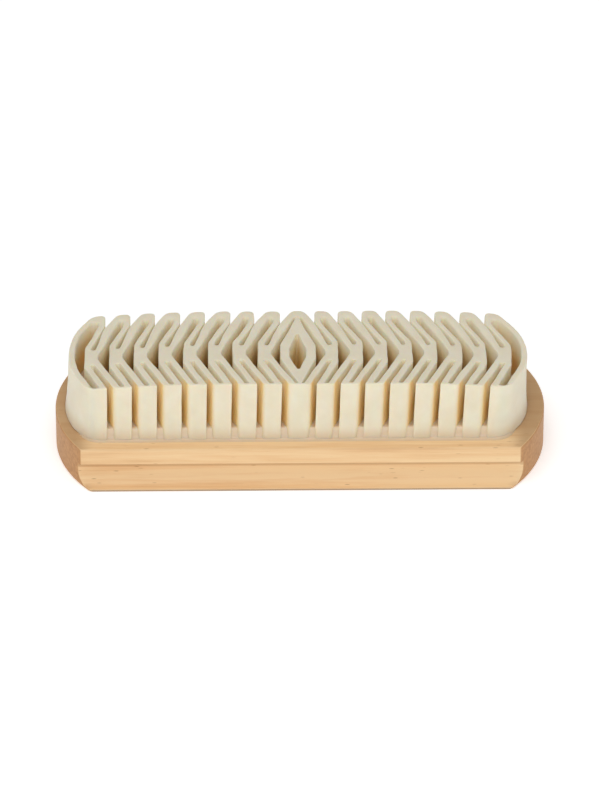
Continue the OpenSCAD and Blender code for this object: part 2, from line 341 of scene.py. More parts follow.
def outerHalfLoop():
    # the pad's outer contour on the right half, from the front middle round the end to the back middle
    pieces, radii = [], []

    def put(points, radius=0.0):
        pieces.append(np.atleast_2d(points))
        radii.extend([radius] * len(np.atleast_2d(points)))

    for n in range(sheets, 1, -2):          # front side, from the middle outwards: sheet n, slot, sheet n - 1
        far, near = facesOf[n][0], facesOf[n - 1][1]
        line = backLine(p["cells"] - 1 - (n - 2) // 2) + p["outset"]
        put(far[0], p["frontCorner"])
        put(cutAt(far[0], far[1], p["jointFront"]), p["crotch"])
        put([line, p["jointFront"]], p["crotch"])
        put(near[bendSteps + 1:0:-1])
        put(near[0], p["sharpCorner"])
    far = facesOf[1][0]
    put(far[0], p["endCorner"])
    put(far[1:-1])
    put(far[-1], p["endShoulderRadius"])
    part = np.linspace(0, 1, 9)[1:-1, None]
    swell = np.hstack([np.sin(np.pi * part ** p["fullnessBehind"]) * p["fullness"], 0 * part])
    for n in range(2, sheets, 2):           # back side, from the end inwards: sheet n, slot, sheet n + 1
        near, far = facesOf[n][1], facesOf[n + 1][0]
        line = backLine(p["cells"] - 1 - (n - 1) // 2) + p["outset"]
        start = cutAt(far[-2], far[-1], p["jointBack"])
        put(near[-1], p["backCorner"])
        put(near[-2:bendSteps + 1:-1])
        put([line, p["jointBack"]], p["crotch"])
        put(start, p["crotch"])
        put(start + (far[-1] - start) * part + swell)
        put(far[-1], p["backShoulder"])
    return np.vstack(pieces), np.array(radii)


handWork = {                # what laying the pad by hand leaves, in millimetres
    "frontDrift": 0.05,     # of the front edges to +X, and how much more near the middle, within middleReach
    "middleDrift": 0.3,
    "middleReach": 9.0,
    "leftDrift": 0.2,       # of the back tips to +X left of the middle, less leftFall over leftReach
    "leftFall": 0.8,
    "leftReach": 51.0,
    "leftMost": 1.1,        # where that fall stops, as a share of leftReach
    "rightDrift": 0.85,     # of the back tips to -X at the middle of rightReach
    "rightReach": 62.0,
    "middleFade": 5.0,      # where the back's drift is whole, off the middle
    "frontFade": (6.0, 18.0),   # before the middle, where the front's drift sets in and is whole
    "backFade": (1.0, 14.0),    # the same behind the middle
    "waverX": 0.10, "longWave": 17.0,   # long and short waver of the sheets across, and along Y
    "shortWaverX": 0.045, "shortWave": 5.0,
    "waverY": 0.04, "waveY": 12.0, "mostY": 17,
    "lean": 0.45,           # how far the foot stands to -X of the top, and how much more at leanAt
    "leanMore": 0.25,
    "leanAt": 45.0,
    "knifeDrop": 0.05,      # how far the knife cut lies below the frame's top, and its waver
    "knifeWaver": 0.045,
    "knifeWave": 21.0,
}


def handLaid(points):
    # each point moves along X with its front or back edge, less so the further it lies from that edge: by
    # frontDrift + middleDrift e^-(x / reach)^2 at the front, a slope and half a sine at the back
    h = handWork
    x, y = points[:, 0], points[:, 1]
    front = h["frontDrift"] + h["middleDrift"] * np.exp(-(x / h["middleReach"]) ** 2)
    left = h["leftDrift"] - h["leftFall"] * np.clip(-x / h["leftReach"], 0, h["leftMost"])
    right = -h["rightDrift"] * np.sin(np.pi * np.clip(x / h["rightReach"], 0, 1))
    back = np.where(x < 0, left, right) * smoothStep(np.abs(x), 0.0, h["middleFade"])
    shift = front * smoothStep(-y, *h["frontFade"]) + back * smoothStep(y, *h["backFade"])
    wobbleX = h["waverX"] * waves(x, y, h["longWave"], 3) + h["shortWaverX"] * waves(x, y, h["shortWave"], 4)
    wobbleY = h["waverY"] * waves(x, y, h["waveY"], 5) * (np.abs(y) < h["mostY"])
    return points + np.stack([shift + wobbleX, wobbleY], -1)


def leaned(points, height):
    # to -X by (lean + leanMore x / leanAt) times the share of the pad's height that is still above
    h = handWork
    reach = np.clip(1 - height / (padTop - woodTop), 0, 1)
    lean = (h["lean"] + h["leanMore"] * points[:, 0] / h["leanAt"]) * reach
    return points - np.stack([lean, np.zeros(len(points))], -1)


def padTopAt(x, y):
    # flat in the middle, then a wide arc down to the ends, with the knife's slight waver
    h = handWork
    reach = np.clip(np.abs(x) - p["crownFlat"], 0, None) / (padHalf - p["crownFlat"])
    waver = h["knifeWaver"] * waves(x, y, h["knifeWave"], 8)
    return padTop - p["crown"] * reach ** 2 - h["knifeDrop"] + waver


def turnedTo(loop, way):
    # the loop turned round if the sign of its shoelace area isn't way
    x, y = loop.T
    area = 0.5 * np.sum(x * np.roll(y, -1) - np.roll(x, -1) * y)
    return loop if np.sign(area) == way else loop[::-1]


def cleaned(loop, least=0.03):
    # drops points that lie closer than least to the one before
    keep = np.linalg.norm(loop - np.roll(loop, 1, axis=0), axis=1) > least
    return loop[keep]


def planLoops():
    # the pad's outer contour and then every hollow, as laid by hand, at their place in the frame
    half, radii = outerHalfLoop()
    found = [roundedLoop(np.vstack([half, mirrored(half)[::-1]]), np.concatenate([radii, radii[::-1]]))]
    for n in range(1, sheets - 1, 2):
        loop = cellLoop(n)
        found += [loop, mirrored(loop)[::-1]]
    gap, hole = ringLoops()
    found += [gap, mirrored(gap)[::-1], hole]
    found = [turnedTo(loop, 1 if i == 0 else -1) for i, loop in enumerate(found)]
    return [handLaid(resample(cleaned(loop), p["gap"]) + [padMiddle, 0.0]) for loop in found]


loops = planLoops()
print("plan of the pad:", len(loops), "loops,", sum(map(len, loops)), "points")


def nearestDistance(x, y, rings):
    # distance from each spot to the closest loop point, worked out in blocks
    cloud = np.vstack(rings)
    spots = np.column_stack([x.ravel(), y.ravel()])
    best = np.empty(len(spots))
    for k in range(0, len(spots), 1500):
        d = spots[k:k + 1500, None, :] - cloud[None]
        best[k:k + 1500] = np.sqrt((d * d).sum(-1).min(axis=1))
    return best.reshape(x.shape)


def insideRubber(spots, rings):
    # even-odd rule: counts the loop edges that a ray along +X crosses
    crossings = np.zeros(len(spots), int)
    for ring in rings:
        a, b = ring, np.roll(ring, -1, axis=0)
        for k in range(0, len(spots), 4000):
            x, y = spots[k:k + 4000, 0, None], spots[k:k + 4000, 1, None]
            spans = (a[None, :, 1] > y) != (b[None, :, 1] > y)
            with np.errstate(divide="ignore", invalid="ignore"):
                at = a[None, :, 0] + (y - a[None, :, 1]) * (b - a)[None, :, 0] / (b - a)[None, :, 1]
            crossings[k:k + 4000] += (spans & (x < at)).sum(axis=1)
    return crossings % 2 == 1


def padOutline():
    # convex contour round the whole pad, which spans the open slots
    flat = [Vector(q) for q in loops[0].tolist()]
    return resample(loops[0][geometry.convex_hull_2d(flat)], 0.3)


def loopNormals(loop):
    # normals that point out of the rubber, each 1 / cos(half the turn at its point) long; the outer loop runs
    # anticlockwise and the hollows clockwise
    ahead = np.roll(loop, -1, axis=0) - loop
    ahead /= np.linalg.norm(ahead, axis=1)[:, None]
    behind = np.roll(ahead, 1, axis=0)
    n = np.stack([ahead[:, 1] + behind[:, 1], -(ahead[:, 0] + behind[:, 0])], -1)
    length = np.linalg.norm(n, axis=1)
    cosHalf = np.clip(length / 2, 0.5, 1)
    return n / length[:, None] / cosHalf[:, None]


padSurface = {              # millimetres
    "edge": 0.3,            # rounding that handling leaves on the knife-cut top edges
    "backEdge": 0.4,        # the same on the back half, and inside its hollows
    "hollowEdge": 0.75,
    "backFrom": (-2.0, 8.0),    # where the back half's rounding sets in and is whole, along Y
    "tipShare": 0.35,       # what is left of the rounding at the ring's tips, and where it grows back
    "tipFrom": (0.8, 2.6),
    "foot": 0.25,           # how far the pad's foot stands in the latex film
    "flare": 1.1,           # how far the end sheets spread at the foot, and over what height
    "flareHeight": 6.0,
    "flareFrom": (56.0, 58.5),  # off the middle, where the spread sets in and is whole
    "wallWaver": 0.05,      # waver of the walls, and the length of its waves
    "waverLength": 7.0,
    "waverRise": 6.0,       # height at which it is whole
    "rows": (0.0, 0.6, 1.4, 2.6, 4.2, 8.0, 12.0),   # heights of the wall's rows above the foot
    "rimAngles": (0, 30, 60, 90),                   # degrees round the worn top edge
    "hardAngle": 28,        # degrees, what is shaded as an edge
    "paleReach": 2.2,       # how far in from the outline the back's walls keep the cut's colour, before the painted shade of the hollows sets in
    "paleFade": 1.0,
    "frontFrom": (13.0, 17.0),  # before the middle, where slot walls get the full painted warm shade right up to the cut
    "paintedShadeDepth": (1.2, 8.5),     # how far below the cut walls stay painted pale, as if lit through the rubber, and where their painted warm shade is full
}


def padRows(loop, top, outside):
    # profile carried along the loop: a wall with flare e^(-height / flareHeight) at the pad's ends, then the
    # worn edge's quarter round, inwards by edge (1 - cos a) and down by edge (1 - sin a)
    s = padSurface
    worn = s["backEdge" if outside else "hollowEdge"]
    e = s["edge"] + (worn - s["edge"]) * smoothStep(loop[:, 1], *s["backFrom"])
    offMiddle = np.abs(loop[:, 0] - padMiddle)
    e = e * (s["tipShare"] + (1 - s["tipShare"]) * smoothStep(offMiddle, *s["tipFrom"]))
    n = loopNormals(loop)
    low = np.full(len(loop), woodTop + s["foot"])
    ends = smoothStep(offMiddle, *s["flareFrom"]) * outside
    rows = []
    for height in s["rows"]:
        flare = s["flare"] * np.exp(-height / s["flareHeight"]) * ends
        waver = s["wallWaver"] * waves(loop[:, 0] + 40 * height / 12, loop[:, 1], s["waverLength"], 21)
        moved = loop + n * (flare + waver * smoothStep(height, 0, s["waverRise"]))[:, None]
        rows.append(np.column_stack([leaned(moved, height), low + height]))
    waver = s["wallWaver"] * waves(loop[:, 0] + 50, loop[:, 1], s["waverLength"], 21)
    for a in np.radians(s["rimAngles"]):
        inset = e * (1 - math.cos(a)) - waver
        rows.append(np.column_stack([loop - n * inset[:, None], top - e * (1 - math.sin(a))]))
    return rows


def capTriangles(rings, down):
    # Delaunay triangles between the rings that lie in rubber, all facing down or all up, as indices into the
    # rings' points put one after another
    flat = np.vstack(rings)
    starts = np.cumsum([0] + [len(ring) for ring in rings])[:-1]
    turns = [start + np.arange(len(ring)) for start, ring in zip(starts, rings)]
    edges = np.vstack([np.column_stack([turn, np.roll(turn, -1)]) for turn in turns])
    made = geometry.delaunay_2d_cdt([Vector(q) for q in flat.tolist()], edges.tolist(), [], 0, 1e-6)
    spots, tris = np.array([v[:] for v in made[0]]), np.array(made[2])
    source = np.array([o[0] if o else -1 for o in made[3]])
    tris = source[tris[insideRubber(spots[tris].mean(axis=1), rings)]]
    crossed = (tris < 0).any(axis=1)
    if crossed.any():
        print("cap has", int(crossed.sum()), "faces on crossing points")
        tris = tris[~crossed]
    a, b, c = (flat[tris[:, k]] for k in range(3))
    turned = ((b - a)[:, 0] * (c - a)[:, 1] - (b - a)[:, 1] * (c - a)[:, 0]) < 0
    wrong = ~turned if down else turned
    tris[wrong] = tris[wrong][:, ::-1]
    return tris


def buildPad(material):
    # every loop has its own wall, and a cap closes all walls at the top and another at the foot; the points
    # hold two values from 0 to 1 that place the material's painted light and shade on the walls: inner, away
    # from the outline, and deep, below the cut
    s = padSurface
    outline = padOutline()
    points, quads, inner, deep, footIndex, topIndex = [], [], [], [], [], []
    first = 0
    for i, loop in enumerate(loops):
        top = padTopAt(loop[:, 0], loop[:, 1])
        rows = padRows(loop, top, i == 0)
        within = np.ones(len(loop))
        front = 0.0
        if i == 0:
            distance = nearestDistance(loop[:, 0], loop[:, 1], [outline])
            # within and deep place the painted shade in the hollows and the painted pale light just below the
            # cut
            within = smoothStep(distance - s["paleReach"] * (loop[:, 1] > 0), 0.0, s["paleFade"])
            front = smoothStep(-loop[:, 1], *s["frontFrom"])
        deep += [np.maximum(smoothStep(top - row[:, 2], *s["paintedShadeDepth"]), front) for row in rows]
        inner += [within] * len(rows)
        points += rows
        quads.append(gridFaces(len(rows), len(loop), first))
        footIndex.append(first + np.arange(len(loop)))
        first += len(rows) * len(loop)
        topIndex.append(first - len(loop) + np.arange(len(loop)))
    points = np.vstack(points)
    faces = np.vstack(quads).tolist()
    for index, down in ((topIndex, False), (footIndex, True)):
        tris = capTriangles([points[ring, :2] for ring in index], down)
        faces += np.concatenate(index)[tris].tolist()
    piece = addPiece("crepePad", points * mm, faces, material, hardAngle=s["hardAngle"])
    for name, values in (("inner", inner), ("deep", deep)):
        layer = piece.data.attributes.new(name, "FLOAT", "POINT")
        layer.data.foreach_set("value", np.concatenate(values))
    return piece


# Natural crepe rubber, sheeted and cut with a knife

crepeLook = {
    "cut": "#f0e7cf", "cutDull": "#ede3ca", "cutWarm": "#f3ebd5",      # knife-cut faces, scuffed pale
    "rim": "#fff6e0",                                                  # walls just below the cut, painted pale as if lit by light let through the rubber
    "sheet": "#ffe0a2", "sheetDull": "#fbd895",                        # walls deep in the hollows, painted warm for the shade and the bounced light there
    "foot": "#ead6ba", "footHeight": (1.0, 4.5), "footShare": 0.6,     # where the latex has soaked up, mm
    "mottle": 6.0,          # mm, cloudy patches of the rubber
    "grit": 0.45,           # mm, the crepe's fine pebble
    "gritDepth": 0.12,      # mm
    "roughness": (0.5, 0.68),
    "turn": (0.3, 0.8),     # how far a face looks up where the walls' painted shade gives way to the cut's colour
    "finish": {
        "IOR": 1.45,
        "Specular IOR Level": 0.25,
        "Subsurface Weight": 0.5,
        "Subsurface Radius": (1.0, 0.7, 0.4),
        "Subsurface Scale": 0.0013,                     # m, mean path of red light in the rubber
    },
}


def crepeMaterial():
    # milky cream with a faint waxy sheen and cloudy patches; the hollows' walls carry painted light and
    # shade, pale at the cut as if lit through the rubber and warm in the deep for the shade and bounced light
    # there, and the latex dulls the foot
    look = crepeLook
    material, tree, shader, place = newMaterial("natural crepe rubber, knife cut", look["finish"])
    cloud = addNode(tree, "ShaderNodeTexNoise",
                    inputs={"Scale": 1 / (look["mottle"] * mm), "Detail": 3.0, "Roughness": 0.55},
                    links={"Vector": place}).outputs["Fac"]
    cut = addNode(tree, "ShaderNodeValToRGB", links={"Fac": cloud},
                  stops=[(0.3, look["cutDull"]), (0.52, look["cut"]), (0.72, look["cutWarm"])])
    paintedDeepShade = addNode(tree, "ShaderNodeValToRGB", links={"Fac": cloud},
                     stops=[(0.3, look["sheetDull"]), (0.7, look["sheet"])])
    normal = addNode(tree, "ShaderNodeNewGeometry").outputs["Normal"]
    up = addNode(tree, "ShaderNodeSeparateXYZ", links={"Vector": normal}).outputs["Z"]
    low, high = look["turn"]
    upright = addNode(tree, "ShaderNodeMapRange",
                      inputs={"From Min": low, "From Max": high, "To Min": 1.0, "To Max": 0.0},
                      links={"Value": up}).outputs["Result"]
    # inner, deep and upright place the painted shade on the hollows' walls and the painted pale light just
    # below the cut
    inner = addNode(tree, "ShaderNodeAttribute", {"attribute_name": "inner"}).outputs["Fac"]
    deep = addNode(tree, "ShaderNodeAttribute", {"attribute_name": "deep"}).outputs["Fac"]
    wall = addNode(tree, "ShaderNodeMath", product, links={0: inner, 1: upright})
    paintedWallShade = addNode(tree, "ShaderNodeMix", colourMix, {"A": linearColour(look["rim"])},
                         {"Factor": deep, "B": paintedDeepShade.outputs["Color"]})
    colour = addNode(tree, "ShaderNodeMix", colourMix,
                     links={"Factor": wall.outputs["Value"], "A": cut.outputs["Color"],
                            "B": paintedWallShade.outputs["Result"]})
    height = addNode(tree, "ShaderNodeSeparateXYZ", links={"Vector": place}).outputs["Z"]
    soaked, dry = ((woodTop + z) * mm for z in look["footHeight"])
    foot = addNode(tree, "ShaderNodeMapRange", eased,
                   {"From Min": soaked, "From Max": dry, "To Min": look["footShare"], "To Max": 0.0},
                   {"Value": height})
    colour = addNode(tree, "ShaderNodeMix", colourMix, {"B": linearColour(look["foot"])},
                     {"Factor": foot.outputs["Result"], "A": colour.outputs["Result"]})
    grit = addNode(tree, "ShaderNodeTexNoise",
                   inputs={"Scale": 1 / (look["grit"] * mm), "Detail": 4.0, "Roughness": 0.6},
                   links={"Vector": place}).outputs["Fac"]
    bump = addNode(tree, "ShaderNodeBump", inputs={"Strength": 0.35, "Distance": look["gritDepth"] * mm},
                   links={"Height": grit})
    smooth, coarse = look["roughness"]
    rough = addNode(tree, "ShaderNodeMapRange",
                    inputs={"From Min": 0.3, "From Max": 0.7, "To Min": smooth, "To Max": coarse},
                    links={"Value": grit})
    tree.links.new(colour.outputs["Result"], shader.inputs["Base Color"])
    tree.links.new(bump.outputs["Normal"], shader.inputs["Normal"])
    tree.links.new(rough.outputs["Result"], shader.inputs["Roughness"])
    return material


pad = buildPad(crepeMaterial())
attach(pad, "root")
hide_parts(*[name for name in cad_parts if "sheet" in name])
print("pad built:", len(pad.data.polygons), "faces")

# Latex bed: film, the pools between the sheets and the skirt round the pad's foot

bedShape = {                # millimetres
    "cell": 0.45,           # between surface points
    "fine": 0.1,            # between them across the front and back faces, and how far in these fine rows go
    "fineReach": 1.2,
    "margin": 1.4,          # how far the surface is worked out round the pad
    "rise": 0.55,           # how far the latex creeps up a wall, and over what distance that dies away
    "creep": 0.55,
    "waver": 0.05,          # of the pools, and the length of its waves
    "waverLength": 6.0,
    "edgeDip": 0.1,         # how much lower the pools end at the pad's edge, and how far in they are whole
    "edgeFrom": (0.2, 1.2),
    "skirt": 0.7,           # width of the skirt, its height, its waver as a share and how hollow it falls
    "skirtHeight": 0.5,
    "skirtWaver": 0.3, "skirtWave": 9.0,
    "skirtFall": 1.8,
    "film": 0.05,           # thinnest latex
    "face": (0.4, 0.62),    # how far in from the strips the upright face starts and ends
    "sunk": 0.3,            # how far the underside lies in the wood
}


def openSides(quads, under):
    # walls below the border edges of the kept quads, down to the points that lie under places further on
    edges = np.vstack([quads[:, [k, (k + 1) % 4]] for k in range(4)])
    key = np.sort(edges, axis=1)
    _, index, counts = np.unique(key, axis=0, return_index=True, return_counts=True)
    border = edges[index[counts == 1]]
    return np.column_stack([border[:, 1], border[:, 0], border[:, 0] + under, border[:, 1] + under])


def buildBed(material):
    # height field over the pad's foot: level pool + rise e^(-distance / creep) at walls, an upright face at
    # the front and back, and a skirt outside it that falls to the wood within its width
    b = bedShape
    left, right = padMiddle - padHalf - b["margin"], padMiddle + padHalf + b["margin"]
    xs = np.arange(left, right + b["cell"], b["cell"])
    fineRows = np.arange(-b["margin"], b["fineReach"], b["fine"])
    middleRows = np.arange(frontY + b["fineReach"], backY - b["fineReach"], b["cell"])
    ys = np.concatenate([frontY + fineRows, middleRows, (backY - fineRows)[::-1]])
    gx, gy = np.meshgrid(xs, ys)
    outline = leaned(padOutline(), 1.0)
    within = insideRubber(np.column_stack([gx.ravel(), gy.ravel()]), [outline]).reshape(gx.shape)
    edge = nearestDistance(gx, gy, [outline])
    signed = np.where(within, edge, -edge)
    wall = nearestDistance(gx, gy, [leaned(resample(loop, 0.3), 1.0) for loop in loops])
    lower = smoothStep(signed, *b["edgeFrom"])
    pool = bedTop - woodTop + lower * b["rise"] * np.exp(-wall / b["creep"])
    pool = pool + b["waver"] * waves(gx, gy, b["waverLength"], 31) - b["edgeDip"] * (1 - lower)
    lap = b["skirtHeight"] * (1 + b["skirtWaver"] * waves(gx, gy * 0, b["skirtWave"], 32))
    skirt = b["film"] + lap * np.clip(1 + signed / b["skirt"], 0, 1) ** b["skirtFall"]
    z = skirt + (pool - skirt) * smoothStep(signed, *b["face"])
    z = np.where(signed < -b["skirt"], -b["sunk"], z)
    top = np.stack([gx, gy, woodTop + z], -1).reshape(-1, 3)
    low = np.stack([gx, gy, np.full_like(gx, woodTop - b["sunk"])], -1).reshape(-1, 3)
    quads = gridFaces(*gx.shape, loop=False)
    quads = quads[(z.reshape(-1)[quads] > 0.01 - b["sunk"]).any(axis=1)]
    faces = np.vstack([quads, quads[:, ::-1] + len(top), openSides(quads, len(top))])
    return addPiece("latexBed", np.vstack([top, low]) * mm, faces.tolist(), material)


latexLook = {
    "base": "#e8d4b8", "stain": "#d9bc92",      # thick latex, and thin latex with the wood below it
    "thick": 1.2,                               # mm at which the wood no longer shows
    "patch": 3.5, "patchShare": 0.35,           # mm, cloudy patches, and how much they change the tone
    "finish": {
        "Roughness": 0.42,
        "Subsurface Weight": 0.4,
        "Subsurface Radius": (1.0, 0.65, 0.35),
        "Subsurface Scale": 0.0009,
    },
}


def latexMaterial():
    # dried latex cement: creamy, a little glossier than the crepe, stained by the wood where it is thin
    look = latexLook
    material, tree, shader, place = newMaterial("latex cement, dried", look["finish"])
    cloud = addNode(tree, "ShaderNodeTexNoise", inputs={"Scale": 1 / (look["patch"] * mm), "Detail": 3.0},
                    links={"Vector": place}).outputs["Fac"]
    height = addNode(tree, "ShaderNodeSeparateXYZ", links={"Vector": place}).outputs["Z"]
    thickness = addNode(tree, "ShaderNodeMapRange",
                        inputs={"From Min": woodTop * mm, "From Max": (woodTop + look["thick"]) * mm},
                        links={"Value": height})
    share = addNode(tree, "ShaderNodeMath", {"operation": "MULTIPLY_ADD", "use_clamp": True},
                    {1: look["patchShare"], 2: 0.0}, {0: cloud})
    tone = addNode(tree, "ShaderNodeMath", {"operation": "ADD", "use_clamp": True},
                   links={0: thickness.outputs["Result"], 1: share.outputs["Value"]})
    colour = addNode(tree, "ShaderNodeValToRGB", links={"Fac": tone.outputs["Value"]},
                     stops=[(0.0, look["stain"]), (0.8, look["base"])])
    bump = addNode(tree, "ShaderNodeBump", inputs={"Strength": 0.3, "Distance": 0.2 * mm},
                   links={"Height": cloud})
    tree.links.new(colour.outputs["Color"], shader.inputs["Base Color"])
    tree.links.new(bump.outputs["Normal"], shader.inputs["Normal"])
    return material


bed = buildBed(latexMaterial())
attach(bed, "root")
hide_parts("latex_bed")
print("bed built:", len(bed.data.polygons), "faces")

# Beech block: outline at each height, carried up the moulded profile

blockShape = {              # millimetres
    "band": 22.15,          # half width of the upper band, and its height
    "bandHeight": 4.9,
    "cove": 1.2,            # how far the cove's wall lies in from the band, and the cove's radius
    "coveRadius": 3.5,
    "flangeEdge": 0.7,      # thickness of the foot flange, and what sanding takes off its edges
    "flangeEase": 0.12,
    "endRadius": 38.4,      # radius of the curved ends
    "edge": 0.5,            # rounding of the top and bottom rims
    "ease": 0.35,           # sanded upright corners where sides meet ends
    "stepEase": 0.12,       # rounding of the step under the band
}


def blockProfile():
    # rows of (height, half width, set-back of the end face) up the side: foot, flange, cove as a quarter
    # circle, wall, step, band and the rounded top edge
    b = blockShape
    flange, ease = blockHigh.y / mm, b["flangeEase"]
    rim, radius = b["edge"], b["coveRadius"]
    band, wall = b["band"], b["band"] - b["cove"]
    step, e = woodTop - b["bandHeight"], b["stepEase"]
    foot = [(0.0, flange - ease, rim), (ease, flange, 0.6 * rim),
            (b["flangeEdge"] - 0.15, flange, 0.05), (b["flangeEdge"], flange - ease, 0.0)]
    a = np.radians(np.linspace(-90, -180, 15))
    centreZ, centreY = b["flangeEdge"] + radius, wall + radius
    cove = np.stack([centreZ + radius * np.sin(a), centreY + radius * np.cos(a), 0 * a], -1)
    under = [(step - e, wall, 0.0), (step - 0.3 * e, wall + 0.3 * e, 0.0), (step, wall + e, 0.0),
             (step, band - e, 0.0), (step + 0.3 * e, band - 0.3 * e, 0.0), (step + e, band, 0.0)]
    z = np.linspace(step + 0.8, woodTop - rim - 0.4, 5)
    side = np.stack([z, np.full(5, band), 0 * z], -1)
    a = np.radians(np.linspace(0, 90, 6))
    top = np.stack([woodTop - rim + rim * np.sin(a), band - rim + rim * np.cos(a), rim - rim * np.cos(a)], -1)
    return np.vstack([foot, cove, under, side, top])


def blockLoop(halfWidth, setBack, straight=90, arc=36):
    # plan outline: two straight sides of the given half width and two end arcs, upright corners eased
    b = blockShape
    ease = b["ease"]
    radius = b["endRadius"] - setBack
    centre = blockHigh.x / mm - b["endRadius"]
    reach = centre + math.sqrt(radius ** 2 - halfWidth ** 2)
    arcAngle = math.asin((halfWidth - ease) / radius)
    angles = np.linspace(-arcAngle, arcAngle, arc)
    end = np.column_stack([centre + radius * np.cos(angles), radius * np.sin(angles)])
    sideX = np.linspace(reach - ease * 1.2, -(reach - ease * 1.2), straight)
    back = np.column_stack([sideX, np.full(straight, halfWidth)])
    corner = np.array([[reach - 0.28 * ease, halfWidth - 0.22 * ease]])
    front = np.column_stack([-sideX, np.full(straight, -halfWidth)])
    return np.vstack([end, corner, back, corner * [-1, 1],
                      mirrored(end)[::-1], corner * [-1, -1], front, corner * [1, -1]])


def buildBlock(material, closing=12):
    # one ring for each row of the profile; the top and the sole close in flatter and flatter rings towards
    # their middle line
    rings = []
    for z, halfWidth, setBack in blockProfile():
        loop = blockLoop(halfWidth, setBack)
        rings.append(np.column_stack([loop, np.full(len(loop), z)]))
    sole = [rings[0] * [1, k, 1] for k in np.linspace(0.0, 0.9, closing)]
    top = [rings[-1] * [1, k, 1] for k in np.linspace(0.9, 0.0, closing)]
    rings = sole + rings + top
    faces = gridFaces(len(rings), len(rings[0])).tolist()
    piece = addPiece("beechBlock", np.vstack(rings) * mm, faces, material)
    bm = bmesh.new()
    bm.from_mesh(piece.data)
    bmesh.ops.remove_doubles(bm, verts=bm.verts, dist=1e-6)
    bm.to_mesh(piece.data)
    bm.free()
    piece.data.set_sharp_from_angle(angle=math.radians(38))
    return piece


beechLook = {
    "pale": "#f8d6a6", "mid": "#f1c997", "dark": "#e6ba88",
    "line": 0.9,            # mm between fine growth lines
    "figure": 6.0,          # mm between broad tone changes
    "drawnOut": 0.05,       # scale along the grain, as a share of that across it
    "fleck": "#a07045", "flecks": 0.9, "fleckDrawnOut": 0.17,          # ray flecks, mm between them across
    "endPale": "#cf9c68", "endDark": "#b88453", "endPores": 900.0,     # end grain, pores per m
    "stepShadow": "#a8784a",      # painted shadow line under the band's overhang at the step, and mm above and below it where it fades
    "stepShadowAbove": (0.25, 0.5), "stepShadowBelow": (1.5, 0.6),
    "sole": "#8a7462", "footShadowHeight": (0.25, 0.75),                     # painted contact shadow along the bottom edge, fading out between these heights, mm
    "endMarginShade": "#b48c62", "endMarginShadeReach": (54.0, 60.0),                  # painted shade on the top beside the pad's ends, where the pad keeps the light off, set in and whole at these distances off the middle, mm
    "pore": 0.22,           # mm, pores drawn coarser than real so that they show
    "poreDepth": 0.1,
    "finish": {"Roughness": 0.55, "Specular IOR Level": 0.3},
}


